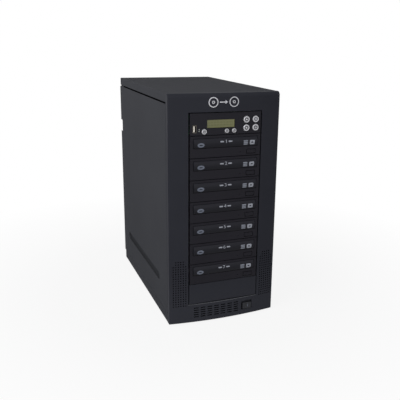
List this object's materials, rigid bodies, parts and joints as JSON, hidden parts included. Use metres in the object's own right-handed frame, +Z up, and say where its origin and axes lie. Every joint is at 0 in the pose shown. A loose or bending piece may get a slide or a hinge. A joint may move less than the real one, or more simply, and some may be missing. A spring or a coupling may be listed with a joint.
{
  "type": "disc duplicator tower",
  "caption": "Upright disc duplicator tower: steel case with a bowed front bezel, a stack of tray-loading drives, a controller with display and round buttons, rear fan and power supply.",
  "frame": {"origin": "middle of the object's box, on the floor under the feet", "axes": "+Z up, the front with the drives faces -Y, +X to the right seen from the front"},
  "size_m": [0.225, 0.407, 0.4602],
  "materials": {
    "case_paint": "fine textured black powder coat",
    "bezel_plastic": "fine moulded grain, charcoal black",
    "drive_plastic": "fine moulded grain, black",
    "tray_plastic": "fine moulded grain, black",
    "silver_plastic": "silver paint on plastic",
    "bare_steel": "zinc coated sheet",
    "bright_metal": "bright plating",
    "fan_plastic": "black moulding",
    "rocker_plastic": "glossy black",
    "mechanism_plastic": "dark grey moulding",
    "circuit_board": "green solder mask",
    "display_glass": "olive display behind a clear cover",
    "light_pipe": "clear light pipe",
    "cable_jacket": "plastic sleeves",
    "foot_rubber": "matt black rubber"
  },
  "bodies": {
    "case": {"drive_cage": "case_paint", "base_pan": "case_paint", "top_cover": "case_paint", "left_side_panel": "case_paint", "right_side_panel": "case_paint", "rear_panel": "case_paint", "front_bezel": "bezel_plastic", "blank_bay_cover": "bezel_plastic", "drive_1_bezel": "drive_plastic", "drive_2_bezel": "drive_plastic", "drive_3_bezel": "drive_plastic", "drive_4_bezel": "drive_plastic", "drive_5_bezel": "drive_plastic", "drive_6_bezel": "drive_plastic", "drive_7_bezel": "drive_plastic", "controller_faceplate": "drive_plastic", "drive_cases": "bare_steel", "psu_case": "bare_steel", "machine_screws": "bare_steel", "fan_guards": "bright_metal", "side_thumbscrews": "bright_metal", "usb_socket": "bright_metal", "fan_frames": "fan_plastic", "mains_inlet": "fan_plastic", "power_switch": "fan_plastic", "controller_board": "circuit_board", "lcd_module": "circuit_board", "lcd_window": "display_glass", "status_leds": "light_pipe", "data_cables": "cable_jacket", "power_harness": "cable_jacket", "rubber_feet": "foot_rubber"},
    "drive_1_tray": {"drive_1_tray": "tray_plastic"},
    "drive_2_tray": {"drive_2_tray": "tray_plastic"},
    "drive_3_tray": {"drive_3_tray": "tray_plastic"},
    "drive_4_tray": {"drive_4_tray": "tray_plastic"},
    "drive_5_tray": {"drive_5_tray": "tray_plastic"},
    "drive_6_tray": {"drive_6_tray": "tray_plastic"},
    "drive_7_tray": {"drive_7_tray": "tray_plastic"},
    "drive_1_eject": {"drive_1_eject_button": "drive_plastic"},
    "drive_2_eject": {"drive_2_eject_button": "drive_plastic"},
    "drive_3_eject": {"drive_3_eject_button": "drive_plastic"},
    "drive_4_eject": {"drive_4_eject_button": "drive_plastic"},
    "drive_5_eject": {"drive_5_eject_button": "drive_plastic"},
    "drive_6_eject": {"drive_6_eject_button": "drive_plastic"},
    "drive_7_eject": {"drive_7_eject_button": "drive_plastic"},
    "up_button": {"up_button": "silver_plastic"},
    "enter_button": {"enter_button": "silver_plastic"},
    "down_button": {"down_button": "silver_plastic"},
    "escape_button": {"escape_button": "silver_plastic"},
    "stop_button": {"stop_button": "silver_plastic"},
    "copy_button": {"copy_button": "silver_plastic"},
    "verify_button": {"verify_button": "silver_plastic"},
    "power_button": {"power_button": "bezel_plastic"},
    "psu_rocker": {"psu_rocker": "rocker_plastic"},
    "rear_fan": {"rear_fan_rotor": "fan_plastic"},
    "psu_fan": {"psu_fan_rotor": "fan_plastic"},
    "decks": {"drive_decks": "mechanism_plastic"},
    "spindles": {"disc_spindles": "mechanism_plastic"},
    "sleds": {"laser_sleds": "mechanism_plastic"}
  },
  "joints": [
    {"name": "drive_1_tray_slide", "type": "slide", "parent": "case", "child": "drive_1_tray", "axis": [0, -1, 0], "range_m": [0, 0.142]},
    {"name": "drive_2_tray_slide", "type": "slide", "parent": "case", "child": "drive_2_tray", "axis": [0, -1, 0], "range_m": [0, 0.142]},
    {"name": "drive_3_tray_slide", "type": "slide", "parent": "case", "child": "drive_3_tray", "axis": [0, -1, 0], "range_m": [0, 0.142]},
    {"name": "drive_4_tray_slide", "type": "slide", "parent": "case", "child": "drive_4_tray", "axis": [0, -1, 0], "range_m": [0, 0.142]},
    {"name": "drive_5_tray_slide", "type": "slide", "parent": "case", "child": "drive_5_tray", "axis": [0, -1, 0], "range_m": [0, 0.142]},
    {"name": "drive_6_tray_slide", "type": "slide", "parent": "case", "child": "drive_6_tray", "axis": [0, -1, 0], "range_m": [0, 0.142]},
    {"name": "drive_7_tray_slide", "type": "slide", "parent": "case", "child": "drive_7_tray", "axis": [0, -1, 0], "range_m": [0, 0.142]},
    {"name": "drive_1_eject_press", "type": "slide", "parent": "case", "child": "drive_1_eject", "axis": [0, 1, 0], "range_m": [0, 0.0008], "stiffness_N_per_m": 400},
    {"name": "drive_2_eject_press", "type": "slide", "parent": "case", "child": "drive_2_eject", "axis": [0, 1, 0], "range_m": [0, 0.0008], "stiffness_N_per_m": 400},
    {"name": "drive_3_eject_press", "type": "slide", "parent": "case", "child": "drive_3_eject", "axis": [0, 1, 0], "range_m": [0, 0.0008], "stiffness_N_per_m": 400},
    {"name": "drive_4_eject_press", "type": "slide", "parent": "case", "child": "drive_4_eject", "axis": [0, 1, 0], "range_m": [0, 0.0008], "stiffness_N_per_m": 400},
    {"name": "drive_5_eject_press", "type": "slide", "parent": "case", "child": "drive_5_eject", "axis": [0, 1, 0], "range_m": [0, 0.0008], "stiffness_N_per_m": 400},
    {"name": "drive_6_eject_press", "type": "slide", "parent": "case", "child": "drive_6_eject", "axis": [0, 1, 0], "range_m": [0, 0.0008], "stiffness_N_per_m": 400},
    {"name": "drive_7_eject_press", "type": "slide", "parent": "case", "child": "drive_7_eject", "axis": [0, 1, 0], "range_m": [0, 0.0008], "stiffness_N_per_m": 400},
    {"name": "up_button_press", "type": "slide", "parent": "case", "child": "up_button", "axis": [0, 1, 0], "range_m": [0, 0.001], "stiffness_N_per_m": 400},
    {"name": "enter_button_press", "type": "slide", "parent": "case", "child": "enter_button", "axis": [0, 1, 0], "range_m": [0, 0.001], "stiffness_N_per_m": 400},
    {"name": "down_button_press", "type": "slide", "parent": "case", "child": "down_button", "axis": [0, 1, 0], "range_m": [0, 0.001], "stiffness_N_per_m": 400},
    {"name": "escape_button_press", "type": "slide", "parent": "case", "child": "escape_button", "axis": [0, 1, 0], "range_m": [0, 0.001], "stiffness_N_per_m": 400},
    {"name": "stop_button_press", "type": "slide", "parent": "case", "child": "stop_button", "axis": [0, 1, 0], "range_m": [0, 0.001], "stiffness_N_per_m": 400},
    {"name": "copy_button_press", "type": "slide", "parent": "case", "child": "copy_button", "axis": [0, 1, 0], "range_m": [0, 0.001], "stiffness_N_per_m": 400},
    {"name": "verify_button_press", "type": "slide", "parent": "case", "child": "verify_button", "axis": [0, 1, 0], "range_m": [0, 0.001], "stiffness_N_per_m": 400},
    {"name": "power_button_press", "type": "slide", "parent": "case", "child": "power_button", "axis": [0, 1, 0], "range_m": [0, 0.0015], "stiffness_N_per_m": 500},
    {"name": "psu_rocker_tilt", "type": "hinge", "parent": "case", "child": "psu_rocker", "pos_m": [0.042, 0.1845, 0.0705], "axis": [1, 0, 0], "range_deg": [0, 20]},
    {"name": "rear_fan_spin", "type": "hinge", "parent": "case", "child": "rear_fan", "pos_m": [0, 0.1605, 0.178], "axis": [0, 1, 0], "continuous": true},
    {"name": "psu_fan_spin", "type": "hinge", "parent": "case", "child": "psu_fan", "pos_m": [-0.028, 0.1605, 0.057], "axis": [0, 1, 0], "continuous": true},
    {"name": "deck_lift", "type": "slide", "parent": "case", "child": "decks", "axis": [0, 0, 1], "range_m": [0, 0.0072]},
    {"name": "spindle_spin", "type": "hinge", "parent": "decks", "child": "spindles", "pos_m": [0, -0.13, 0], "axis": [0, 0, 1], "continuous": true},
    {"name": "laser_sled_slide", "type": "slide", "parent": "decks", "child": "sleds", "axis": [0, 1, 0], "range_m": [0, 0.033]}
  ]
}
